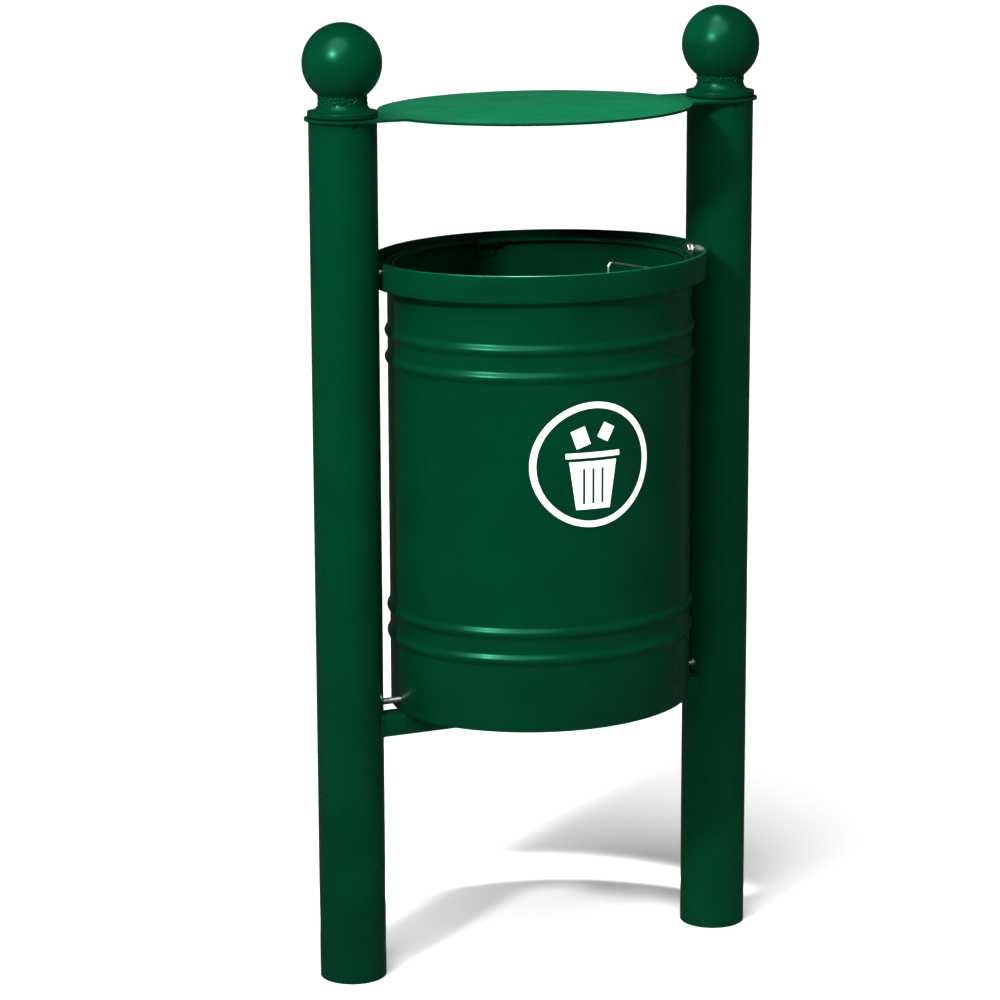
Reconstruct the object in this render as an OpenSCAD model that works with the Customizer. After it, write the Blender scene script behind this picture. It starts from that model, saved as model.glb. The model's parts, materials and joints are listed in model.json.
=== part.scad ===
// Two-post street litter bin: oval sheet bin with a bag ring, rim band, flat canopy and ball-topped posts.
// Left is -X, the front faces -Y, and Z = 0 is the foot of the posts.

/* [Posts] */
// Distance between the post axes
post_spacing = 464; // [440:1:500]
// Outer diameter of the post tube
post_d = 76.1; // [60.3:0.1:88.9]
// Wall of the post tube
post_wall = 2; // [1.5:0.5:4]
// Height of the post tube from its foot
post_h = 990; // [960:1:1100]
// Diameter of the ball on each cap
ball_d = 88.6; // [70:0.2:90]

/* [Canopy] */
// Length of the canopy oval along the line of the posts
canopy_length = 363; // [330:1:380]
// Width of the canopy oval, front to back
canopy_width = 302; // [302:3:320]
// Thickness of the canopy plate
canopy_t = 3; // [2:0.5:5]
// Radius of the canopy ear round each post
ear_r = 42.5; // [41:0.5:48]

/* [Bin] */
// Length of the bin oval along the line of the posts
bin_length = 351; // [330:1:360]
// Width of the bin oval, front to back
bin_width = 312; // [300:1:316]
// Height of the bin's lower edge above the feet
bin_base = 312; // [250:1:330]
// Height of the bin shell
bin_h = 510; // [460:1:520]
// How far the bin hangs in front of the line of the posts
bin_forward = 12; // [8:1:16]
// Sheet thickness of the bin
sheet_t = 1.5; // [1:0.25:2]
// How far each swaged bead stands out
bead_out = 3.4; // [2:0.1:5]
// Height of each bead on the sheet
bead_w = 12.6; // [8:0.2:20]
// Distance between the two beads of a pair
bead_pitch = 30.4; // [24:0.2:40]
// Height of the floor plate above the lower edge
floor_rise = 24; // [22:1:40]

/* [Rim band] */
// Length of the band's oval, outside
band_length = 388; // [384:1:388]
// Width of the band's oval, outside
band_width = 325.6; // [322:0.2:332]
// Height of the band strip
band_h = 31; // [20:1:50]
// Thickness of the band strip
band_t = 3; // [2:0.5:5]
// How far the band stands above the bin's rim
band_above_rim = 8; // [4:0.5:12]

/* [Bag ring] */
// Diameter of the ring's wire
wire_d = 3.5; // [3:0.5:6]
// Height of the finger grip above the ring
grip_h = 18.5; // [10:0.5:30]

/* [Sign] */
// Outer diameter of the round sign
sign_d = 141; // [100:1:160]
// Width of the sign's ring
sign_ring = 7; // [4:0.5:12]

/* [Hidden] */
$fn = 96;

left = -1;
right = 1;
cut = 1;

post_x = post_spacing / 2;
post_bore = post_d - 2 * post_wall;
post_y = bin_forward;
// The post's face on the bin's own line.
post_face_x = post_x - sqrt(pow(post_d / 2, 2) - pow(post_y, 2));

// Ball cap, heights from the top of the canopy plate.
cap_base = post_h + canopy_t;
cap_groove_h = 1.4;
cap_groove_r = post_d / 2 - 2;
cap_rim_r = post_d / 2 + 1;
cap_rim_h = 7;
neck_r = 26.5;
neck_h = 18;
ball_r = ball_d / 2;
ball_h = 59.6;
spigot_h = 35;
spigot_d = post_bore - 0.2;
screw_d = 5;
screw_z = post_h - 4.5;

rim_z = bin_base + bin_h;
band_top = rim_z + band_above_rim;
band_z = band_top - band_h;
bolt_z = band_top - 10;
lower_bolt_z = bin_base + 13.8;
upper_beads = [rim_z - 77, rim_z - 77 - bead_pitch];
lower_beads = [bin_base + 83, bin_base + 83 + bead_pitch];

// The sheet is rolled outwards round a wire at the rim.
rim_roll_d = 4;
floor_t = 1.5;

// M8 fasteners.
bolt_d = 8;
bolt_clear_d = 9;
head_af = 13;
head_h = 5.3;
washer_d = 16;
washer_t = 1.6;
insert_d = 11;
insert_l = 16;
// Flat washers sit this far off a curved sheet, where their edges meet it.
seat = 0.3;
band_washer_x = band_length / 2 - band_t - seat;
lower_washer_x = bin_length / 2 - sheet_t - floor_t - seat;

bar = 25;
bar_wall = 2;

drain_d = 8;
drain_ring_r = 90;

// Bag ring: centre line of the wire, inside the rim.
wire_gap = 3.5;
ring_a = bin_length / 2 - sheet_t - wire_gap - wire_d / 2;
ring_b = bin_width / 2 - sheet_t - wire_gap - wire_d / 2;
ring_k = oval_k(ring_a, ring_b);
ring_side_r = ring_b + ring_k;
ring_z = rim_z - 2.5;
grip_from = 15;
grip_run = 72;
grip_d = wire_d - 0.3;
grip_bend = 5;
// The grip's ends stand on the ring and sink into it this far.
grip_sink = 0.15;
wire_sides = 10;
function ring_front(x) = ring_k - sqrt(pow(ring_side_r, 2) - pow(x, 2));

// Clips and rivets that carry the ring, on the shell's inner face.
shell_in_r = bin_width / 2 - sheet_t + ring_k;
clip_t = 2;
clip_w = 24;
clip_clear = 0.3;
clip_drop = 13;
// The flat back of the hinge clip and the rivet heads stay just off the curved sheet.
clip_seat = 0.5;
head_clear = 0.1;
clip_back_y = bin_width / 2 - sheet_t - clip_seat;
saddle_d = 8;
hinge_half = 25;
hinge_turn = asin(hinge_half / ring_side_r);
hinge_y = -ring_front(hinge_half);
rest_turn = 28;
ledge_w = 14;
ledge_out = 9;
ledge_drop = 17;
ledge_z = ring_z - wire_d / 2 - clip_clear;
rivet_z = ring_z - 9;
rivet_d = 4;
rivet_head_d = 8;

// Bush for a 60.3 mm ground stake.
bush_l = 120;
stake_bore = 60.9;

sign_x = -6;
sign_z = bin_base + 304;
sign_t = 0.4;

// Distance of the arc centres from the middle of a four-arc oval with half axes a and b.
// The arcs meet at 45 degrees, where the end and side arcs share a tangent.
function oval_k(a, b) = (a - b) / (2 - sqrt(2));

// Sweeps a profile round the oval: its x runs outwards from the oval's line and its y is height.
module oval_sweep(a, b) {
  k = oval_k(a, b);
  for (i = [0:3]) {
    end_arc = i % 2 == 0;
    rotate(90 * i) translate([end_arc ? k : -k, 0, 0]) rotate(-45)
      rotate_extrude(angle = 90) translate([end_arc ? a - k : b + k, 0]) children();
  }
}

// Solid oval plate, made of four sectors that share the oval's arcs.
module oval_plate(a, b, h) {
  k = oval_k(a, b);
  for (i = [0:3]) {
    end_arc = i % 2 == 0;
    rotate(90 * i) translate([end_arc ? k : -k, 0, 0]) rotate(-45)
      rotate_extrude(angle = 90) square([end_arc ? a - k : b + k, h]);
  }
}

// Cylinder along X that starts at x and runs towards the middle of the bin.
module inward_rod(side, x, d, l) {
  translate([side * x, 0, 0]) rotate([0, -90 * side, 0]) cylinder(d = d, h = l);
}

module hex_bolt(side, z, head_x, tip_x) {
  color("silver") translate([0, 0, z]) {
    inward_rod(side, tip_x, bolt_d, tip_x - head_x);
    translate([side * head_x, 0, 0]) rotate([0, -90 * side, 0]) rotate(30)
      cylinder(d = head_af / cos(30), h = head_h, $fn = 6);
  }
}

module washer(side, z, outer_x, t) {
  color("silver") translate([0, 0, z]) difference() {
    inward_rod(side, outer_x, washer_d, t);
    inward_rod(side, outer_x + cut, bolt_clear_d, t + 2 * cut);
  }
}

// Threaded insert, flush with the post tube and open towards the bin.
module insert(side, z) {
  color("silver") difference() {
    intersection() {
      translate([0, 0, z]) inward_rod(side, post_face_x + insert_l, insert_d, insert_l + cut);
      translate([side * post_x, post_y, z - insert_d]) cylinder(d = post_d, h = 2 * insert_d);
    }
    translate([0, 0, z]) inward_rod(side, post_face_x + insert_l + cut, bolt_d, insert_l + 3 * cut);
  }
}

module post(side) {
  color("darkgreen") difference() {
    translate([side * post_x, post_y, 0]) cylinder(d = post_d, h = post_h);
    translate([side * post_x, post_y, -cut]) cylinder(d = post_bore, h = post_h + 2 * cut);
    for (z = [bolt_z, lower_bolt_z])
      translate([0, 0, z]) inward_rod(side, post_x, insert_d, post_d / 2 + cut);
    translate([side * post_x, post_y, screw_z]) rotate([90, 0, 0])
      cylinder(d = screw_d, h = post_d);
  }
}

// Turned cap: shadow groove, rim, cove, ball and the spigot that plugs the post.
module ball_cap(side) {
  cove_r = neck_h - cap_rim_h;
  color("darkgreen") difference() {
    translate([side * post_x, post_y, cap_base]) {
      rotate_extrude() difference() {
        union() {
          translate([0, -canopy_t - spigot_h]) square([spigot_d / 2, canopy_t + spigot_h]);
          square([cap_groove_r, cap_groove_h]);
          translate([0, cap_groove_h]) square([cap_rim_r, cap_rim_h - cap_groove_h]);
          translate([0, cap_rim_h]) square([neck_r + cove_r, cove_r]);
          translate([0, neck_h]) square([neck_r, ball_h - neck_h]);
        }
        translate([neck_r + cove_r, cap_rim_h + cove_r]) circle(r = cove_r);
      }
      translate([0, 0, ball_h]) sphere(r = ball_r);
    }
    translate([side * post_x, post_y, screw_z]) rotate([90, 0, 0])
      translate([0, 0, spigot_d / 2 - 6]) cylinder(d = screw_d, h = 12);
  }
}

// Grub screw through the post wall into the cap's spigot.
module cap_screw(side) {
  color("dimgray") translate([side * post_x, post_y, screw_z]) rotate([90, 0, 0])
    difference() {
      translate([0, 0, spigot_d / 2 - 6]) cylinder(d = screw_d, h = 7.4);
      translate([0, 0, spigot_d / 2 - 1]) cylinder(d = 2.5, h = 4, $fn = 6);
    }
}

module canopy() {
  color("mediumseagreen") translate([0, post_y, post_h]) difference() {
    union() {
      oval_plate(canopy_length / 2, canopy_width / 2, canopy_t);
      translate([-post_x, -ear_r, 0]) cube([2 * post_x, 2 * ear_r, canopy_t]);
      for (side = [left, right]) translate([side * post_x, 0, 0]) cylinder(r = ear_r, h = canopy_t);
    }
    for (side = [left, right])
      translate([side * post_x, 0, -cut]) cylinder(d = spigot_d + 0.4, h = canopy_t + 2 * cut);
  }
}

module rim_band() {
  color("darkgreen") difference() {
    translate([0, 0, band_z]) oval_sweep(band_length / 2, band_width / 2)
      translate([-band_t, 0]) square([band_t, band_h]);
    for (side = [left, right]) translate([0, 0, bolt_z])
      inward_rod(side, band_length / 2 + cut, bolt_clear_d, band_t + 3 * cut);
  }
}

// Sheet wall profile with its wired rim and swaged beads; x = 0 is the outer face.
module shell_profile() {
  bead_r = (pow(bead_w / 2, 2) + pow(bead_out, 2)) / (2 * bead_out);
  difference() {
    union() {
      translate([-sheet_t, 0]) square([sheet_t, bin_h - rim_roll_d / 2]);
      translate([rim_roll_d / 2 - sheet_t + 0.1, bin_h - rim_roll_d / 2]) circle(d = rim_roll_d);
      for (z = concat(upper_beads, lower_beads)) intersection() {
        translate([bead_out - bead_r, z - bin_base]) circle(r = bead_r);
        translate([-sheet_t, z - bin_base - bead_w]) square([sheet_t + bead_w, 2 * bead_w]);
      }
    }
    for (z = concat(upper_beads, lower_beads))
      translate([bead_out - bead_r, z - bin_base]) circle(r = bead_r - sheet_t);
  }
}

module bin_shell() {
  color("green") difference() {
    translate([0, 0, bin_base]) oval_sweep(bin_length / 2, bin_width / 2) shell_profile();
    for (side = [left, right]) translate([0, 0, lower_bolt_z])
      inward_rod(side, bin_length / 2 + cut, bolt_clear_d, sheet_t + 3 * cut);
    for (side = [left, right]) at_rest_clip(side) translate([0, -shell_in_r + 5, rivet_z])
      rotate([90, 0, 0]) cylinder(d = rivet_d, h = 10);
    translate([0, bin_width / 2 + 5, rivet_z]) rotate([90, 0, 0]) cylinder(d = rivet_d, h = 10);
  }
}

// Pressed floor with its flange turned down inside the shell, and drain holes.
module bin_floor() {
  a = bin_length / 2 - sheet_t;
  b = bin_width / 2 - sheet_t;
  color("green") difference() {
    translate([0, 0, bin_base]) {
      translate([0, 0, floor_rise]) oval_plate(a, b, floor_t);
      oval_sweep(a, b) translate([-floor_t, 0]) square([floor_t, floor_rise + floor_t]);
    }
    for (spot = concat([[0, 0]], [for (turn = [45:90:315]) drain_ring_r * [cos(turn), sin(turn)]]))
      translate([spot[0], spot[1], bin_base + floor_rise - cut])
        cylinder(d = drain_d, h = floor_t + 2 * cut);
    for (side = [left, right]) translate([0, 0, lower_bolt_z])
      inward_rod(side, bin_length / 2, bolt_clear_d, sheet_t + floor_t + 3 * cut);
  }
}

// Square tube between the posts, coped to them at both ends.
module crossbar() {
  color("darkgreen") difference() {
    translate([-post_x, -bar / 2, bin_base - bar]) cube([2 * post_x, bar, bar]);
    translate([-post_x, -bar / 2 + bar_wall, bin_base - bar + bar_wall])
      cube([2 * post_x, bar - 2 * bar_wall, bar - 2 * bar_wall]);
    for (side = [left, right]) translate([side * post_x, post_y, bin_base - bar - cut])
      cylinder(d = post_d, h = bar + 2 * cut);
  }
}

module band_washer(side) {
  washer(side, bolt_z, band_washer_x, washer_t);
}

module band_bolt(side) {
  hex_bolt(side, bolt_z, band_washer_x - washer_t, post_face_x + insert_l - 1);
}

module lower_washer(side) {
  washer(side, lower_bolt_z, lower_washer_x, washer_t);
}

module lower_bolt(side) {
  hex_bolt(side, lower_bolt_z, lower_washer_x - washer_t, post_face_x + insert_l - 1);
}

// Flat picture on the XZ plane: a ring round a tapered bin with sheets of paper dropping in.
module sign_picture() {
  difference() {
    circle(d = sign_d);
    circle(d = sign_d - 2 * sign_ring);
  }
  difference() {
    polygon([[-28, 4], [28, 4], [20, -50], [-20, -50]]);
    for (x = [-11, 0, 11]) translate([x - 1.5, -44]) square([3, 40]);
  }
  translate([-32, 8]) square([64, 6]);
  translate([-15, 31]) rotate(20) square([17, 21], center = true);
  translate([15, 36]) rotate(-28) square([14, 18], center = true);
}

// Vinyl sign, wrapped round the bin's front arc.
module sign() {
  a = bin_length / 2;
  b = bin_width / 2;
  k = oval_k(a, b);
  color("white") intersection() {
    translate([sign_x, 0, sign_z]) rotate([90, 0, 0]) linear_extrude(height = a) sign_picture();
    translate([0, k, sign_z - sign_d]) difference() {
      cylinder(r = b + k + sign_t, h = 2 * sign_d, $fn = 192);
      translate([0, 0, -cut]) cylinder(r = b + k, h = 2 * sign_d + 2 * cut, $fn = 192);
    }
  }
}

// Points along an arc of a circle at ring height, without its last point.
function ring_arc(centre, r, from_turn, to_turn, steps) = [
  for (i = [0:steps - 1]) let (turn = from_turn + (to_turn - from_turn) * i / steps)
    [centre[0] + r * cos(turn), centre[1] + r * sin(turn), ring_z]
];

// Wire swept along a flat path. side is the direction square to the path's plane.
module wire_along(path, side, d, closed) {
  last = len(path) - 1;
  spin = [for (j = [0:wire_sides - 1]) 360 * j / wire_sides];
  rings = [for (i = [0:last])
    let (before = path[i > 0 ? i - 1 : closed ? last : 0], after = path[i < last ? i + 1 : closed ? 0 : last],
         across = cross(side, after - before), out = across / norm(across))
    [for (turn = spin) path[i] + (out * cos(turn) + side * sin(turn)) * d / 2]];
  quads = [for (i = [0:closed ? last : last - 1], j = [0:wire_sides - 1])
    let (next_i = (i + 1) % (last + 1), next_j = (j + 1) % wire_sides)
    [i * wire_sides + j, next_i * wire_sides + j, next_i * wire_sides + next_j, i * wire_sides + next_j]];
  caps = closed ? [] : [
    [for (j = [0:wire_sides - 1]) j],
    [for (j = [wire_sides - 1:-1:0]) last * wire_sides + j]
  ];
  polyhedron([for (ring = rings, point = ring) point], concat(quads, caps));
}

// Oval wire ring with a straight hinge length at the back.
module bag_ring() {
  end_r = ring_a - ring_k;
  color("green") wire_along(concat(
    ring_arc([0, ring_k], ring_side_r, -135, -45, 24),
    ring_arc([ring_k, 0], end_r, -45, 45, 24),
    ring_arc([0, -ring_k], ring_side_r, 45, 90 - hinge_turn, 10),
    [[hinge_half, hinge_y, ring_z], [-hinge_half, hinge_y, ring_z]],
    ring_arc([0, -ring_k], ring_side_r, 90 + hinge_turn, 135, 10),
    ring_arc([-ring_k, 0], end_r, 135, 225, 24)
  ), [0, 0, 1], wire_d, true);
}

// Finger grip on the ring's front: it rises from the ring, bends over and slopes back to it.
module ring_grip() {
  foot = [grip_from, ring_front(grip_from), ring_z + wire_d / 2 - grip_sink];
  tip_x = grip_from + grip_run;
  tip = [tip_x, ring_front(tip_x), ring_z + (wire_d + grip_d) / 2 - grip_sink];
  level = [tip[0] - foot[0], tip[1] - foot[1], 0];
  dir = level / norm(level);
  fall = atan((ring_z + grip_h - tip[2]) / norm(level));
  bend = [for (turn = [180:-15:90 - fall]) [foot[0], foot[1], ring_z + grip_h]
    + dir * grip_bend * (1 + cos(turn)) - [0, 0, grip_bend * (1 - sin(turn))]];
  color("gainsboro") wire_along(concat([foot], bend, [tip]), [dir[1], -dir[0], 0], grip_d, false);
}

// Saddle that holds the ring's straight length against the back of the shell.
module hinge_clip() {
  color("silver") difference() {
    union() {
      translate([-clip_w / 2, hinge_y, ring_z]) rotate([0, 90, 0]) cylinder(d = saddle_d, h = clip_w);
      translate([-clip_w / 2, hinge_y, ring_z - saddle_d / 2])
        cube([clip_w, clip_back_y - hinge_y, saddle_d]);
      translate([-clip_w / 2, clip_back_y - clip_t, ring_z - saddle_d / 2 - clip_drop])
        cube([clip_w, clip_t, clip_drop + saddle_d]);
    }
    translate([-clip_w, hinge_y, ring_z]) rotate([0, 90, 0]) cylinder(d = wire_d + 2 * clip_clear, h = 2 * clip_w);
    translate([0, bin_width / 2, rivet_z]) rotate([90, 0, 0]) cylinder(d = rivet_d, h = 10);
  }
}

// Places a child, drawn outwards along -Y from the front arc's centre, at one rest clip.
module at_rest_clip(side) {
  translate([0, ring_k, 0]) rotate(side * rest_turn) children();
}

// Angle bracket on the shell's inner face whose ledge carries the ring.
module rest_clip(side) {
  turn = ledge_w / shell_in_r * 180 / PI;
  color("silver") at_rest_clip(side) difference() {
    rotate(-90 - turn / 2) rotate_extrude(angle = turn) {
      translate([shell_in_r - clip_t, ledge_z - ledge_drop]) square([clip_t, ledge_drop]);
      translate([shell_in_r - ledge_out, ledge_z - clip_t]) square([ledge_out, clip_t]);
    }
    translate([0, -shell_in_r + 5, rivet_z]) rotate([90, 0, 0]) cylinder(d = rivet_d, h = 10);
  }
}

// Blind rivet along -Y through a clip and the shell; its head stands on the face at y.
module rivet(y, grip) {
  translate([0, y, rivet_z]) rotate([90, 0, 0]) {
    cylinder(d = rivet_d, h = grip + 1);
    translate([0, 0, grip]) cylinder(d = rivet_head_d, h = 1);
    translate([0, 0, -1]) cylinder(d = rivet_head_d, h = 1);
  }
}

module clip_rivets() {
  grip = clip_t + sheet_t;
  color("silver") {
    for (side = [left, right]) at_rest_clip(side) rivet(-shell_in_r + clip_t + head_clear, grip + head_clear);
    rotate(180) rivet(clip_t - clip_back_y, grip + clip_seat);
  }
}

// Bush inside the post's foot that takes a ground stake.
module foot_bush(side) {
  color("silver") translate([side * post_x, post_y, 0]) difference() {
    cylinder(d = post_bore, h = bush_l);
    translate([0, 0, -cut]) cylinder(d = stake_bore, h = bush_l + 2 * cut);
  }
}

post(left);  // post_left
post(right);  // post_right
foot_bush(left);  // foot_bush_left
foot_bush(right);  // foot_bush_right
ball_cap(left);  // ball_cap_left
ball_cap(right);  // ball_cap_right
cap_screw(left);  // cap_screw_left
cap_screw(right);  // cap_screw_right
canopy();
crossbar();
rim_band();
band_bolt(left);  // band_bolt_left
band_bolt(right);  // band_bolt_right
band_washer(left);  // band_washer_left
band_washer(right);  // band_washer_right
insert(left, bolt_z);  // band_insert_left
insert(right, bolt_z);  // band_insert_right
bin_shell();
bin_floor();
lower_bolt(left);  // lower_bolt_left
lower_bolt(right);  // lower_bolt_right
lower_washer(left);  // lower_washer_left
lower_washer(right);  // lower_washer_right
insert(left, lower_bolt_z);  // lower_insert_left
insert(right, lower_bolt_z);  // lower_insert_right
sign();
hinge_clip();
rest_clip(left);  // rest_clip_left
rest_clip(right);  // rest_clip_right
clip_rivets();
bag_ring();
ring_grip();
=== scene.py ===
# %% [markdown]
# A street litter bin made of painted steel. An oval sheet bin is held between two tube posts, under a flat
# canopy. The imported model comes in first. It is the fixed frame that every piece below is built on and moves
# with, so places are read from its nodes.

# %% Load the frame
import json
import math
import random

import bmesh
import bpy
from mathutils import Matrix, Vector


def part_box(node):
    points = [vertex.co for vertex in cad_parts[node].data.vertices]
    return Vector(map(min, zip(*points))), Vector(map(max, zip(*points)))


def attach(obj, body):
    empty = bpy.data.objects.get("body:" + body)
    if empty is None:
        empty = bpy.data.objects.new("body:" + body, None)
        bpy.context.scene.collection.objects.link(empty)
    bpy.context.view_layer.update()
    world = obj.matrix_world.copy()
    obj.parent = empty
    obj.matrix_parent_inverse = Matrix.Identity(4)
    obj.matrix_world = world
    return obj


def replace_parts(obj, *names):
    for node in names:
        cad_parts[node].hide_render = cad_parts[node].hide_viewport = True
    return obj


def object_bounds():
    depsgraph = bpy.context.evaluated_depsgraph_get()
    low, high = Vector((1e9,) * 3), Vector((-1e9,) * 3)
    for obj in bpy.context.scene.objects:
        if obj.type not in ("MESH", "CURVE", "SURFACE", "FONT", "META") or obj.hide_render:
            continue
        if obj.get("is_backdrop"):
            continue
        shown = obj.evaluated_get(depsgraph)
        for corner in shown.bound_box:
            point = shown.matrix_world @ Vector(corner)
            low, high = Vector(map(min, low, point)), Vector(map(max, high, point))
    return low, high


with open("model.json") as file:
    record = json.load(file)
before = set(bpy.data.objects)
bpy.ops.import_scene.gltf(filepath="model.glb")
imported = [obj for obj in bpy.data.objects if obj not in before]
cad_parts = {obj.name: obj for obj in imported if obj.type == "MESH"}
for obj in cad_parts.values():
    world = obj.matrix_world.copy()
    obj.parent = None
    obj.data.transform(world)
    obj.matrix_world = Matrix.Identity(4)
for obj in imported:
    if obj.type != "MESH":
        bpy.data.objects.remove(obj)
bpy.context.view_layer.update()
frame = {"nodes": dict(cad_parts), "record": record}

MM = 0.001
nodes = frame["nodes"]

# %% [markdown]
# The view is a long lens from a little above and from the left of the front.
# The camera is turned round a target point at the middle of the bin, which keeps it level apart from a
# slight roll.
# The distance and the lens belong together: a long lens far away keeps the two posts almost parallel.

# %% Camera
target = Vector((-45.0, 12.0, 544.1)) * MM
distance = 4184.1 * MM
azimuth, elevation, roll = (math.radians(v) for v in (-23.68, 13.07, -0.19))
turn = Matrix.Rotation(azimuth, 4, "Z") @ Matrix.Rotation(math.pi / 2 - elevation, 4, "X")
camera = bpy.data.objects.new("camera", bpy.data.cameras.new("camera"))
camera.data.sensor_width = 36
camera.data.lens = 131.656
camera.matrix_world = (Matrix.Translation(target) @ turn @ Matrix.Translation((0, 0, distance))
                       @ Matrix.Rotation(roll, 4, "Z"))
bpy.context.scene.collection.objects.link(camera)
bpy.context.scene.camera = camera
print("camera at mm:", [round(v / MM, 1) for v in camera.matrix_world.translation])

# %% [markdown]
# Every finish below is made of shader nodes, and one helper adds a node, sets it up and links it.
# Colours are written as the hex values a painter would pick, and one function turns them to linear light,
# because the shaders add light and can't use the values made for a screen.

# %% Helpers for the finishes


def linear(code):
    """A colour such as #1f7a4d as linear red, green, blue and alpha."""
    parts = [int(code[i:i + 2], 16) / 255 for i in (1, 3, 5)]
    return (*[p / 12.92 if p <= 0.04045 else ((p + 0.055) / 1.055) ** 2.4 for p in parts], 1)


def add_node(tree, kind, inputs=None, **settings):
    """A node of this kind. A socket among the inputs is linked, any other value is set."""
    made = tree.nodes.new(kind)
    for name, value in settings.items():
        setattr(made, name, value)
    for name, value in (inputs or {}).items():
        if isinstance(value, bpy.types.NodeSocket):
            tree.links.new(value, made.inputs[name])
        else:
            made.inputs[name].default_value = value
    return made


def new_finish(name):
    """An empty material, its node tree and the object coordinates that its patterns read."""
    material = bpy.data.materials.new(name)
    material.use_nodes = True
    tree = material.node_tree
    tree.nodes.clear()
    return material, tree, add_node(tree, "ShaderNodeTexCoord").outputs["Object"]


def blotches(tree, where, size, low, high):
    """Soft blotches of about this size in metres, between two linear colours."""
    noise = add_node(tree, "ShaderNodeTexNoise", {"Vector": where, "Scale": 1 / size, "Detail": 3.0})
    ramp = add_node(tree, "ShaderNodeValToRGB", {"Fac": noise.outputs["Fac"]})
    ramp.color_ramp.elements[0].position, ramp.color_ramp.elements[1].position = 0.3, 0.7
    ramp.color_ramp.elements[0].color, ramp.color_ramp.elements[1].color = low, high
    return ramp.outputs["Color"]


def relief(tree, where, size, detail, strength, depth):
    """The normal of a fine noise relief, with grains of this size and depth in metres."""
    noise = add_node(tree, "ShaderNodeTexNoise", {"Vector": where, "Scale": 1 / size, "Detail": detail})
    bump = add_node(tree, "ShaderNodeBump", {
        "Height": noise.outputs["Fac"], "Strength": strength, "Distance": depth})
    return bump.outputs["Normal"]


def grey(value):
    return (value, value, value, 1)


def cover(tree, inputs):
    """Ends a finish with the one surface shader, set up with these inputs."""
    shader = add_node(tree, "ShaderNodeBsdfPrincipled", inputs)
    add_node(tree, "ShaderNodeOutputMaterial", {"Surface": shader.outputs["BSDF"]})


# %% [markdown]
# Polyester powder coat in a dark moss green. The powder melts into a thick skin that is glossy
# but never quite flat: it keeps a fine orange peel, a few millimetres across, that softens every reflection.
# A low relief gives the peel, slow blotches give the slight change of colour where the coat lies thicker,
# and the roughness wanders a little, as on paint that has been wiped and touched. The clear resin takes on
# some green, so its reflections are tinted and weaker than those of plain glass.

# %% Green powder coat
green, tree, where = new_finish("green_polyester_powder_coat")
# The real peel is 1 to 2 mm across. It is drawn at 3 mm, because it is too fine to show from a few metres.
cover(tree, {
    "Normal": relief(tree, where, 3 * MM, 2.0, 0.06, 0.15 * MM),
    "Base Color": blotches(tree, where, 60 * MM, linear("#002716"), linear("#002c18")),
    "Roughness": blotches(tree, where, 25 * MM, grey(0.27), grey(0.34)),
    "IOR": 1.5, "Specular IOR Level": 0.2, "Specular Tint": linear("#60efbb")})
print("green powder coat, nodes:", len(tree.nodes))

# %% [markdown]
# Bright zinc plate on the bolts, washers, clips and rivets. It is a thin metal skin with a cool tone
# and a faint cloudiness, so both the colour and the roughness change in small blotches.

# %% Zinc plate
zinc, tree, where = new_finish("bright_zinc_plate")
cover(tree, {
    "Normal": relief(tree, where, 0.8 * MM, 3.0, 0.15, 0.05 * MM),
    "Base Color": blotches(tree, where, 4 * MM, linear("#c2c4c2"), linear("#dcdedd")),
    "Roughness": blotches(tree, where, 3 * MM, grey(0.26), grey(0.38)), "Metallic": 1.0})
print("zinc plate, nodes:", len(tree.nodes))

# %% [markdown]
# Galvanised wire, drawn through a die and dipped. The dip leaves it duller than zinc plate,
# with a mottle of light and dark grey a few millimetres long and small runs that catch the light.

# %% Galvanised wire
wire_coat, tree, where = new_finish("drawn_galvanised_wire")
cover(tree, {
    "Normal": relief(tree, where, 2.5 * MM, 4.0, 0.25, 0.1 * MM),
    "Base Color": blotches(tree, where, 6 * MM, linear("#c9cccb"), linear("#e6e8e7")),
    "Roughness": blotches(tree, where, 4 * MM, grey(0.3), grey(0.45)), "Metallic": 1.0})
print("galvanised wire, nodes:", len(tree.nodes))

# %% [markdown]
# The grub screws in the post tops are blackened steel: an oiled oxide that is almost black
# and has a dull sheen, with a little brown where the oil has dried.

# %% Blackened steel
black, tree, where = new_finish("oiled_black_oxide_steel")
cover(tree, {
    "Normal": relief(tree, where, 0.6 * MM, 2.0, 0.2, 0.05 * MM),
    "Base Color": blotches(tree, where, 2 * MM, linear("#1b1a19"), linear("#2c2723")),
    "Roughness": blotches(tree, where, 2 * MM, grey(0.4), grey(0.55)), "Metallic": 0.85})
print("blackened steel, nodes:", len(tree.nodes))

# %% [markdown]
# The round sign is cut from white cast vinyl. The film is satin and slightly grey,
# and it follows the orange peel of the paint beneath it, which a weak relief shows.

# %% White vinyl
vinyl, tree, where = new_finish("white_cast_vinyl")
cover(tree, {
    "Normal": relief(tree, where, 3 * MM, 2.0, 0.08, 0.1 * MM),
    "Base Color": blotches(tree, where, 20 * MM, linear("#eceff0"), linear("#f7f8f8")),
    "Roughness": blotches(tree, where, 15 * MM, grey(0.38), grey(0.46)), "IOR": 1.48})
print("white vinyl, nodes:", len(tree.nodes))

# %% [markdown]
# The nodes that keep their own shape get their finish straight away: the posts are plain tubes with drilled
# holes, the sign is a cut film, and the threaded inserts and foot bushes are turned rings. All other nodes will
# be replaced by a finer piece, and they get the same finish so that no plain surface is left anywhere.

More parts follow.
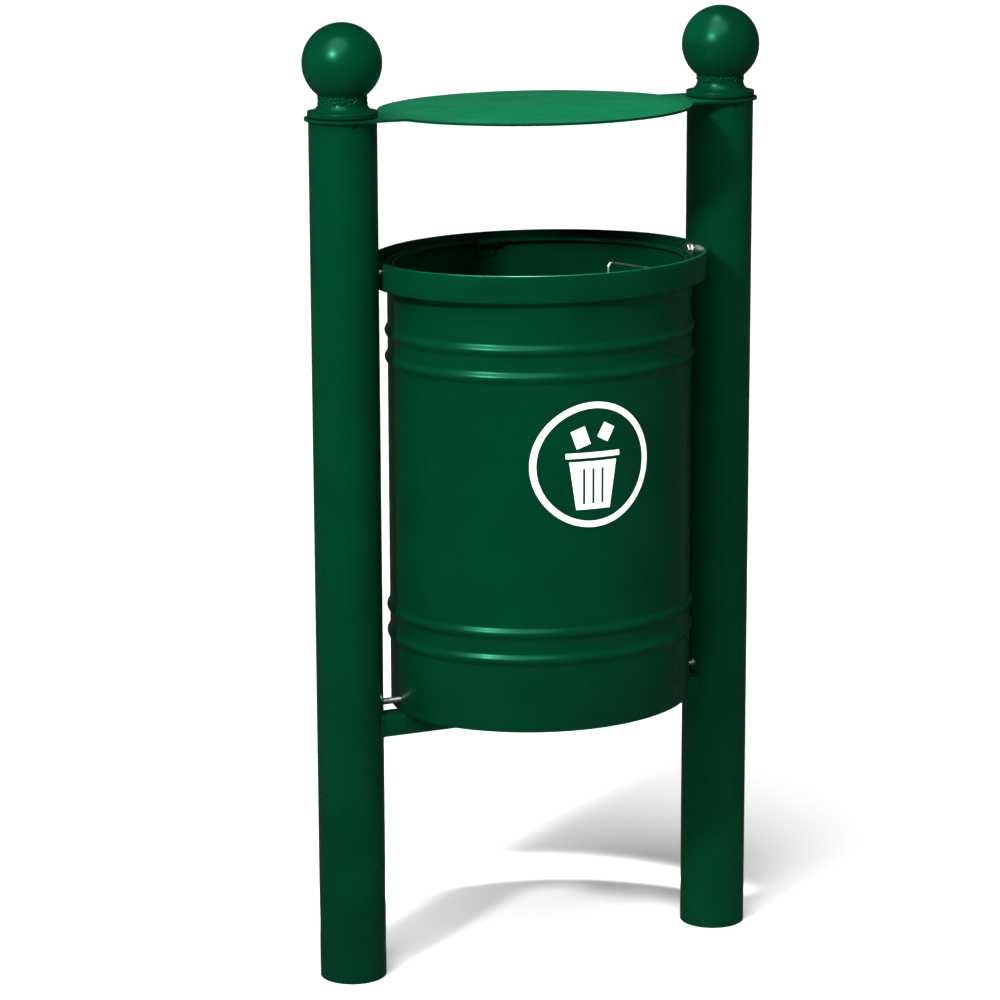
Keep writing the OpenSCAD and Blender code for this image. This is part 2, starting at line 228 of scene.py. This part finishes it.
# %% Finish the nodes
finishes = {"green_powder_coat": green, "zinc_plated_steel": zinc, "galvanised_wire": wire_coat,
            "blackened_steel": black, "white_vinyl": vinyl}
slots = {part["node"]: part["material_slot"] for part in frame["record"]["subparts"]}
for name, node in nodes.items():
    node.data.materials.clear()
    node.data.materials.append(finishes[slots[name]])
print("finished nodes:", {slot: list(slots.values()).count(slot) for slot in finishes})

# %% [markdown]
# Each new piece ends the same way: its mesh becomes an object at the origin, shaded smooth except across
# real corners, with the finish of the node it stands for, riding on that node's body.
# Sheet and plate never have knife edges. The soften helper bevels every sharp edge a little,
# so the edges catch a thin line of light.

# %% Helpers for the pieces


def corners(bm, degrees=35):
    """The edges where two faces meet at more than this angle."""
    return [e for e in bm.edges if len(e.link_faces) == 2 and e.calc_face_angle(0) > math.radians(degrees)]


def soften(bm, width, segments=2, degrees=35):
    bmesh.ops.bevel(bm, geom=corners(bm, degrees), offset=width * MM, offset_type="OFFSET", affect="EDGES",
                    segments=segments, profile=0.5, material=-1, clamp_overlap=True)


def clean(bm):
    """Merges the points that a spin leaves doubled, and turns every face outwards."""
    bmesh.ops.remove_doubles(bm, verts=bm.verts, dist=0.001 * MM)
    bmesh.ops.recalc_face_normals(bm, faces=bm.faces)


def make_piece(name, bm, node, sharp=40):
    """An object from the mesh, with the finish and the body of this node."""
    mesh = bpy.data.meshes.new(name)
    bm.to_mesh(mesh)
    bm.free()
    mesh.shade_smooth()
    mesh.set_sharp_from_angle(angle=math.radians(sharp))
    mesh.materials.append(finishes[slots[node]])
    piece = bpy.data.objects.new(name, mesh)
    bpy.context.scene.collection.objects.link(piece)
    body = next(b for b, members in frame["record"]["behaviour"]["bodies"].items() if node in members)
    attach(piece, body)
    print(name, "faces:", len(mesh.polygons), "size in mm:", [round(v / MM, 1) for v in piece.dimensions])
    return piece


def stand_for(node, name, bm, sharp=40):
    """A piece that is shown instead of the node."""
    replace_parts(make_piece(name, bm, node, sharp), node)


# %% [markdown]
# Some nodes already have the right outline and only lack soft edges: the canopy plate, the floor, the square
# bar and the pressed clips. A copy of the node's mesh is merged, its flat faces are made whole again,
# and its corners are bevelled. The node itself is left as it is.

# %% Softened copies


def soft_copy(name, node, width, segments=2, degrees=35):
    """Stands for the node with a copy whose corners have this bevel in mm."""
    bm = bmesh.new()
    bm.from_mesh(nodes[node].data)
    bmesh.ops.remove_doubles(bm, verts=bm.verts, dist=0.001 * MM)
    bmesh.ops.dissolve_limit(bm, angle_limit=math.radians(0.5), use_dissolve_boundaries=False,
                             verts=bm.verts, edges=bm.edges)
    soften(bm, width, segments, degrees)
    stand_for(node, name, bm)


soft_copy("canopy_plate", "canopy", 0.8, 3)
soft_copy("floor_pressing", "bin_floor", 0.5)
soft_copy("square_bar", "crossbar", 1.2, 3, 60)
soft_copy("hinge_saddle", "hinge_clip", 0.4)
for side in ("left", "right"):
    soft_copy(f"ring_ledge_{side}", f"rest_clip_{side}", 0.4)
soft_copy("domed_rivets", "clip_rivets", 0.7, 3)

# %% [markdown]
# The bin and its band share one outline, an oval drawn with four arcs: two tight ones at the ends and
# two wide ones at the front and back. They meet at 45 degrees, where both point the same way.
# A section is drawn at one of those meeting points and spun round each arc's own centre in turn,
# so the end of one spin is the start of the next, and the last one closes on the first.

# %% Oval sweep


def oval_centre(a, b):
    """How far the arc centres stand from the middle, for half axes a and b."""
    return (a - b) / (2 - math.sqrt(2))


def oval_sweep(section, a, b, closed, steps=32):
    """section holds (outwards, height) in mm, and is spun round the oval with half axes a and b in mm."""
    bm = bmesh.new()
    k = oval_centre(a, b)
    slant = math.sqrt(0.5)
    line = [bm.verts.new(Vector((k + (a - k + out) * slant, -(a - k + out) * slant, z)) * MM)
            for out, z in section]
    edges = [bm.edges.new(pair) for pair in zip(line, line[1:] + line[:1] if closed else line[1:])]
    moving = line + edges
    for centre in ((k, 0), (0, -k), (-k, 0), (0, k)):
        moving = bmesh.ops.spin(bm, geom=moving, cent=Vector((*centre, 0)) * MM, axis=(0, 0, 1),
                                angle=math.pi / 2, steps=steps)["geom_last"]
    clean(bm)
    return bm


# %% [markdown]
# The shell is 1.5 mm sheet, rolled to the oval, with two pairs of beads swaged into it to stiffen it.
# A real bead has no sharp foot: the sheet bends out, over and back in one smooth wave.
# So half a wave is drawn, as steps outwards and up in mm, and mirrored. The section goes up the outside,
# round the wire that the rim is rolled over, and down the inside, so the swept shell is a closed wall.

# %% Bin shell
shell_low, shell_high = (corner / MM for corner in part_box("bin_shell"))
bead_out, sheet = 3.4, 1.5
shell_a, shell_b = shell_high.x - bead_out, shell_high.y - bead_out
half_bead = [(0.0, -8.6), (0.12, -7.4), (0.55, -6.2), (1.3, -4.9), (2.2, -3.5), (2.95, -2.1), (3.32, -0.9)]
bead = half_bead + [(3.4, 0.0)] + [(out, -z) for out, z in reversed(half_bead)]
bead_heights = (395.0, 425.4, 714.6, 745.0)
beads = [(out, z + at) for at in bead_heights for out, z in bead]
roll_r, roll_out = 2.0, 0.6
roll = [(roll_out + roll_r * math.cos(math.radians(t)),
         shell_high.z - roll_r + roll_r * math.sin(math.radians(t))) for t in range(-105, 166, 18)]
inside = [(out - sheet, z) for out, z in reversed(beads)]
section = [(0, shell_low.z), *beads, *roll, (-sheet, shell_high.z - roll_r), *inside, (-sheet, shell_low.z)]
bm = oval_sweep(section, shell_a, shell_b, closed=True)
soften(bm, 0.35, 2, 70)
stand_for("bin_shell", "beaded_shell", bm, sharp=60)
print("shell half axes in mm:", round(shell_a, 2), round(shell_b, 2))

# %% [markdown]
# The rim band is a flat steel strip, bent on edge to a slightly larger oval and welded shut.
# Its section is a plain rectangle with the corners rounded by the mill, which the bevel gives.

# %% Rim band
band_low, band_high = (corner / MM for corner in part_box("rim_band"))
band_t = 3.0
section = [(0, band_low.z), (0, band_high.z), (-band_t, band_high.z), (-band_t, band_low.z)]
bm = oval_sweep(section, band_high.x, band_high.y, closed=True)
soften(bm, 1.3, 4, 60)
stand_for("rim_band", "rim_strip", bm)

# %% [markdown]
# The bag ring is one length of wire bent to an oval, straight where it turns in its hinge, and painted
# with the bin. A circle of 16 points is the wire's section. It is spun round the arcs and pulled along the
# straight part, which keeps the wire round everywhere.

# %% Bag ring
ring_low, ring_high = (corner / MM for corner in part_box("bag_ring"))
wire_r, ring_z, hinge_half = 1.75, 819.5, 25.0
ring_a, ring_b = ring_high.x - wire_r, -ring_low.y - wire_r
k = oval_centre(ring_a, ring_b)
side_r = ring_b + k
hinge_turn = math.asin(hinge_half / side_r)


def wire_end(bm, at, along, r):
    """A circle of wire section at a point in mm, facing along the wire."""
    face = Vector(along).to_track_quat("Z", "Y").to_matrix().to_4x4()
    made = bmesh.ops.create_circle(bm, segments=16, radius=r * MM,
                                   matrix=Matrix.Translation(Vector(at) * MM) @ face)
    return made["verts"] + list({e for v in made["verts"] for e in v.link_edges})


def bend_wire(bm, end, centre, axis, degrees, steps):
    """Spins the wire's end about an axis through a centre in mm."""
    return bmesh.ops.spin(bm, geom=end, cent=Vector(centre) * MM, axis=axis, angle=math.radians(degrees),
                          steps=steps)["geom_last"]


def pull_wire(bm, end, by):
    """Draws the wire's end straight on by a vector in mm."""
    edges = [e for e in end if isinstance(e, bmesh.types.BMEdge)]
    made = bmesh.ops.extrude_edge_only(bm, edges=edges)["geom"]
    verts = [v for v in made if isinstance(v, bmesh.types.BMVert)]
    bmesh.ops.translate(bm, verts=verts, vec=Vector(by) * MM)
    return verts + [e for e in made if isinstance(e, bmesh.types.BMEdge) and all(v in verts for v in e.verts)]


bm = bmesh.new()
hinge_y = side_r * math.cos(hinge_turn) - k
short, full = (45 - math.degrees(hinge_turn), 14), (90, 32)
end = wire_end(bm, (-hinge_half, hinge_y, ring_z), (-math.cos(hinge_turn), -math.sin(hinge_turn), 0), wire_r)
for centre, arc in (((0, -k), short), ((-k, 0), full), ((0, k), full), ((k, 0), full), ((0, -k), short)):
    end = bend_wire(bm, end, (*centre, ring_z), (0, 0, 1), *arc)
pull_wire(bm, end, (-2 * hinge_half, 0, 0))
bmesh.ops.remove_doubles(bm, verts=bm.verts, dist=0.3 * MM)
bmesh.ops.recalc_face_normals(bm, faces=bm.faces)
stand_for("bag_ring", "wire_ring", bm)

# %% [markdown]
# The finger grip is a bare wire that is welded on the ring afterwards. It stands up at one end, bends over
# and runs down to the ring at the other. Small lumps of weld cover both ends.

# %% Finger grip
grip_from, grip_run, grip_h, grip_r, bend_r, sink = 15.0, 72.0, 18.5, 1.6, 5.0, 0.15
lump = (2.3 * MM, 2.3 * MM, 2.0 * MM)


def ring_front(x, above):
    """The point in mm at this height over the middle of the wire at the ring's front."""
    return Vector((x, k - math.sqrt(side_r ** 2 - x ** 2), ring_z + above))


bm = bmesh.new()
foot = ring_front(grip_from, wire_r - sink)
far = ring_front(grip_from + grip_run, wire_r + grip_r - sink)
level = Vector((far.x - foot.x, far.y - foot.y, 0))
fall = math.atan((ring_z + grip_h - far.z) / level.length)
level.normalize()
across = level.cross(Vector((0, 0, 1)))
bend_centre = Vector((foot.x, foot.y, ring_z + grip_h - bend_r)) + level * bend_r
end = wire_end(bm, foot, (0, 0, 1), grip_r)
end = pull_wire(bm, end, (0, 0, bend_centre.z - foot.z))
end = bend_wire(bm, end, bend_centre, across, -math.degrees(math.pi / 2 - fall), 10)
tip = bend_centre + bend_r * (level * math.sin(fall) + Vector((0, 0, math.cos(fall))))
pull_wire(bm, end, far - tip)
for at in (foot, far):
    bmesh.ops.create_icosphere(bm, subdivisions=2, radius=1,
                              matrix=Matrix.Translation(at * MM) @ Matrix.Diagonal((*lump, 1)))
bmesh.ops.holes_fill(bm, edges=[e for e in bm.edges if e.is_boundary], sides=0)
bmesh.ops.recalc_face_normals(bm, faces=bm.faces)
stand_for("ring_grip", "grip_wire", bm)

# %% [markdown]
# A ball cap closes each post: a steel ball on a turned collar, with a shadow groove above the canopy.
# Half of its section is drawn as a few points and two arcs, and a full spin makes it round.
# Where the ball meets the neck, hand welding runs round, rougher on the left cap. It is rows of small
# overlapping beads of uneven size, which the paint covers but doesn't hide.

# %% Ball caps


def weld(bm, points, r, seed):
    """Overlapping beads of weld along a line of points in mm, each a little different."""
    chance = random.Random(seed)
    for at in points:
        size = [r * chance.uniform(0.8, 1.2) * MM for _ in range(3)]
        bmesh.ops.create_icosphere(bm, subdivisions=2, radius=1,
                                   matrix=Matrix.Translation(Vector(at) * MM) @ Matrix.Diagonal((*size, 1)))


ball_r, neck_r, neck_h, rim_h = 44.3, 26.5, 18.0, 7.0
plate_t, groove_in, groove_h, rim_out = 3.0, 2, 1.4, 1
bead_r, bead_sink, row_beads, row_step = 1.9, 0.9, 44, 1.6
for side, rows, seed in (("left", 6, 4), ("right", 3, 5)):
    low, high = (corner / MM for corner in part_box(f"ball_cap_{side}"))
    post_low, post_high = (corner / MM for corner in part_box(f"post_{side}"))
    centre_x, centre_y = (low.x + high.x) / 2, (low.y + high.y) / 2
    base, post_r = post_high.z + plate_t, (post_high.x - post_low.x) / 2
    ball_z, cove_r = high.z - ball_r, neck_h - rim_h

    def at(r, z):
        """A point of the half section, at a radius and a height over the canopy in mm."""
        return Vector((centre_x + r, centre_y, base + z)) * MM

    bm = bmesh.new()
    line = [bm.verts.new(at(r, z)) for r, z in (
        (post_r - groove_in, 0), (post_r - groove_in, groove_h), (post_r + rim_out, groove_h),
        (post_r + rim_out, rim_h), (neck_r + cove_r, rim_h))]
    for pair in zip(line, line[1:]):
        bm.edges.new(pair)
    cove = bmesh.ops.spin(bm, geom=[line[-1]], cent=at(neck_r + cove_r, neck_h), axis=(0, 1, 0),
                          angle=math.radians(90), steps=8)["geom_last"]
    sink = math.asin(neck_r / ball_r)
    foot_z = ball_z - base - ball_r * math.cos(sink)
    start = bm.verts.new(at(neck_r, foot_z))
    bm.edges.new((next(v for v in cove if isinstance(v, bmesh.types.BMVert)), start))
    bmesh.ops.spin(bm, geom=[start], cent=at(0, ball_z - base), axis=(0, 1, 0),
                   angle=-(math.pi - sink), steps=40)
    bmesh.ops.spin(bm, geom=bm.verts[:] + bm.edges[:], cent=(centre_x * MM, centre_y * MM, 0), axis=(0, 0, 1),
                   angle=2 * math.pi, steps=96, use_merge=True)
    clean(bm)
    bmesh.ops.holes_fill(bm, edges=[e for e in bm.edges if e.is_boundary], sides=0)
    bmesh.ops.recalc_face_normals(bm, faces=bm.faces)
    rims = [e for e in corners(bm) if e.verts[0].co.z < (base + rim_h + 1) * MM]
    bmesh.ops.bevel(bm, geom=rims, offset=0.6 * MM, offset_type="OFFSET", affect="EDGES", segments=3,
                    profile=0.5, material=-1, clamp_overlap=True)
    chance = random.Random(seed)
    rough = []
    for row in range(rows):
        for i in range(row_beads):
            t = math.radians(360 * (i + chance.random()) / row_beads)
            up = chance.uniform(foot_z - row_step * row - 2, foot_z + 1 - row_step * row)
            out = neck_r - bead_sink
            if up < neck_h:
                out += cove_r - math.sqrt(cove_r ** 2 - (neck_h - up) ** 2)
            rough.append((centre_x + out * math.cos(t), centre_y + out * math.sin(t), base + up))
    weld(bm, rough, bead_r, seed)
    stand_for(f"ball_cap_{side}", f"ball_top_{side}", bm)

# %% [markdown]
# M8 bolts hold the band and the bin to the posts. The bare shank shows in the gap beside the bin,
# so it gets a real screw thread: a small V of points spun many turns while it also moves along the axis.
# The head is a six-sided cone stub with its corners turned off, as a real hexagon head has.

# %% Bolts and washers


head_h, head_af, core_r = 5.3, 13.0, 3.45
pitch, thread_steps, tooth = 1.25, 20, ((3.4, 0.1), (3.95, 0.6), (3.4, 1.1))
washer_bore, washer_r = 4.5, 8


def along_x(x, z, side_sign):
    """Stands a shape drawn along +Z at x and z in mm, pointing to its own post."""
    place = Matrix.Translation(Vector((side_sign * x, 0, z)) * MM)
    return place @ Matrix.Rotation(side_sign * math.pi / 2, 4, "Y")


def reach(node):
    """How near and how far from the middle the node stands, and its axis height, in mm."""
    low, high = (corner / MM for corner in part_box(node))
    return *sorted((abs(low.x), abs(high.x))), (low.z + high.z) / 2


def add_rod(bm, sides, r, start, length):
    """A capped rod along +Z, with this number of sides, its radius at the corners, in mm."""
    bmesh.ops.create_cone(bm, segments=sides, radius1=r * MM, radius2=r * MM, depth=length * MM,
                          cap_ends=True, matrix=Matrix.Translation((0, 0, (start + length / 2) * MM)))


def make_bolt(name, node, side_sign):
    near, far_x, z = reach(node)
    length = far_x - near - head_h
    bm = bmesh.new()
    add_rod(bm, 6, head_af / math.sqrt(3), 0, head_h)
    soften(bm, 0.7, 2, 50)
    add_rod(bm, 32, core_r, head_h, length)
    line = [bm.verts.new(Vector((r, 0, head_h + up)) * MM) for r, up in tooth]
    edges = [bm.edges.new(pair) for pair in zip(line, line[1:])]
    count = int((length - 2 * pitch) / pitch * thread_steps)
    bmesh.ops.spin(bm, geom=line + edges, cent=(0, 0, 0), axis=(0, 0, 1), steps=count,
                   angle=2 * math.pi * count / thread_steps, dvec=(0, 0, pitch / thread_steps * MM))
    bmesh.ops.transform(bm, matrix=along_x(near, z, side_sign), verts=bm.verts)
    bmesh.ops.recalc_face_normals(bm, faces=bm.faces)
    stand_for(node, name, bm)


def make_washer(name, node, side_sign):
    near, far_x, z = reach(node)
    thick = far_x - near
    bm = bmesh.new()
    line = [bm.verts.new(Vector((r, 0, up)) * MM) for r, up in (
        (washer_bore, 0), (washer_r, 0), (washer_r, thick), (washer_bore, thick))]
    edges = [bm.edges.new(pair) for pair in zip(line, line[1:] + line[:1])]
    bmesh.ops.spin(bm, geom=line + edges, cent=(0, 0, 0), axis=(0, 0, 1), angle=2 * math.pi, steps=48,
                   use_merge=True)
    clean(bm)
    soften(bm, 0.25)
    bmesh.ops.transform(bm, matrix=along_x(near, z, side_sign), verts=bm.verts)
    stand_for(node, name, bm)


for side, sign in (("left", -1), ("right", 1)):
    for level in ("band", "lower"):
        make_bolt(f"{level}_hex_bolt_{side}", f"{level}_bolt_{side}", sign)
        make_washer(f"{level}_flat_washer_{side}", f"{level}_washer_{side}", sign)

# %% [markdown]
# The bar is welded to both posts where it is cut to fit them. The fillet runs up both sides of the bar
# and along its top and bottom, on the curve of the post. The beads are laid on that line,
# and they are painted over with the rest.

# %% Bar welds
bar_low, bar_high = (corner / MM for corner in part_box("crossbar"))
along, fillet_r, top_drop = 8, 2.1, 0.6
for side, sign, seed in (("left", -1, 6), ("right", 1, 8)):
    post_low, post_high = (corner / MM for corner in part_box(f"post_{side}"))
    px, py = (post_low.x + post_high.x) / 2, (post_low.y + post_high.y) / 2
    pr = (post_high.x - post_low.x) / 2

    def on_post(y, z):
        """The point in mm where the bar's skin meets the post."""
        return px - sign * math.sqrt(pr ** 2 - (y - py) ** 2), y, z

    path = [on_post(y, bar_low.z + (bar_high.z - bar_low.z) * i / along)
            for y in (bar_low.y, bar_high.y) for i in range(along + 1)]
    path += [on_post(bar_low.y + (bar_high.y - bar_low.y) * i / along, z)
             for z in (bar_low.z, bar_high.z - top_drop) for i in range(1, along)]
    bm = bmesh.new()
    weld(bm, path, fillet_r, seed)
    make_piece(f"bar_weld_{side}", bm, "crossbar")

# %% [markdown]
# The studio is a wide floor of pale paper. Gloss paint mirrors its surroundings at a flat angle, and a bright
# floor would lay a grey veil over every edge, so the paint doesn't mirror the paper.

# %% Floor
floor_half = 25
bm = bmesh.new()
bmesh.ops.create_grid(bm, x_segments=8, y_segments=8, size=floor_half)
floor_mesh = bpy.data.meshes.new("paper_floor")
bm.to_mesh(floor_mesh)
bm.free()
paper, tree, where = new_finish("pale_background_paper")
cover(tree, {
    "Base Color": blotches(tree, where, 0.5, linear("#fafafa"), linear("#fdfdfd")), "Roughness": 0.9})
floor_mesh.materials.append(paper)
floor = bpy.data.objects.new("paper_floor", floor_mesh)
bpy.context.scene.collection.objects.link(floor)
floor.visible_glossy = False
floor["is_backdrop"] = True
print("floor size in m:", [round(v, 1) for v in floor.dimensions])

# %% [markdown]
# One very large soft source, high at the front left, lights everything evenly. Two weak fills from the right
# and from behind keep those sides readable, and they leave no highlights. A key lamp at the left gives the
# balls and beads their small highlights, and a lamp over the canopy brightens its plate alone.
# The room is dark, for the same reason that the paper isn't mirrored.

# %% Lights


def add_light(name, kind, at, power, aim=(0, 0, 0.6), **settings):
    """A lamp at a place in metres, aimed at a point."""
    lamp = bpy.data.lights.new(name, kind)
    lamp.energy = power
    for key, value in settings.items():
        setattr(lamp, key, value)
    lit = bpy.data.objects.new(name, lamp)
    lit.location = at
    lit.rotation_euler = (Vector(aim) - Vector(at)).to_track_quat("-Z", "Y").to_euler()
    bpy.context.scene.collection.objects.link(lit)
    return lit


add_light("wide_source", "SUN", (-2.0, -2.4, 5.0), 4.5, angle=math.radians(50))
for name, at, power, spread in (
        ("side_fill", (3.0, -1.4, 1.5), 0.8, 40), ("back_fill", (-3.0, 2.4, 1.6), 1.6, 30)):
    add_light(name, "SUN", at, power, angle=math.radians(spread)).visible_glossy = False
add_light("key_lamp", "SPOT", (-2.1, -1.5, 2.35), 560, aim=(0, -0.05, 0.8),
          spot_size=math.radians(32), spot_blend=1.0, shadow_soft_size=0.14)
add_light("canopy_lamp", "SPOT", (0.0, 0.01, 2.6), 980, aim=(0, 0.012, 1.0),
          spot_size=math.radians(14.5), spot_blend=0.25, shadow_soft_size=0.04)
world = bpy.data.worlds.new("studio")
world.use_nodes = True
tree = world.node_tree
tree.nodes.clear()
direction = add_node(tree, "ShaderNodeTexCoord").outputs["Generated"]
height = add_node(tree, "ShaderNodeSeparateXYZ", {"Vector": direction})
ramp = add_node(tree, "ShaderNodeValToRGB", {"Fac": height.outputs["Z"]})
ramp.color_ramp.elements[0].position, ramp.color_ramp.elements[1].position = 0.0, 0.06
ramp.color_ramp.elements[0].color, ramp.color_ramp.elements[1].color = grey(0.05), grey(0.03)
room = add_node(tree, "ShaderNodeBackground", {"Color": ramp.outputs["Color"]})
add_node(tree, "ShaderNodeOutputWorld", {"Surface": room.outputs["Background"]})
bpy.context.scene.world = world
bpy.context.scene.view_settings.view_transform = "Standard"

# %% [markdown]
# Last, the finished model is measured, and its box is printed.

# %% Measure and finish
low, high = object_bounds()
print("visual box in mm:", [round(v / MM, 1) for v in (*low, *high)])
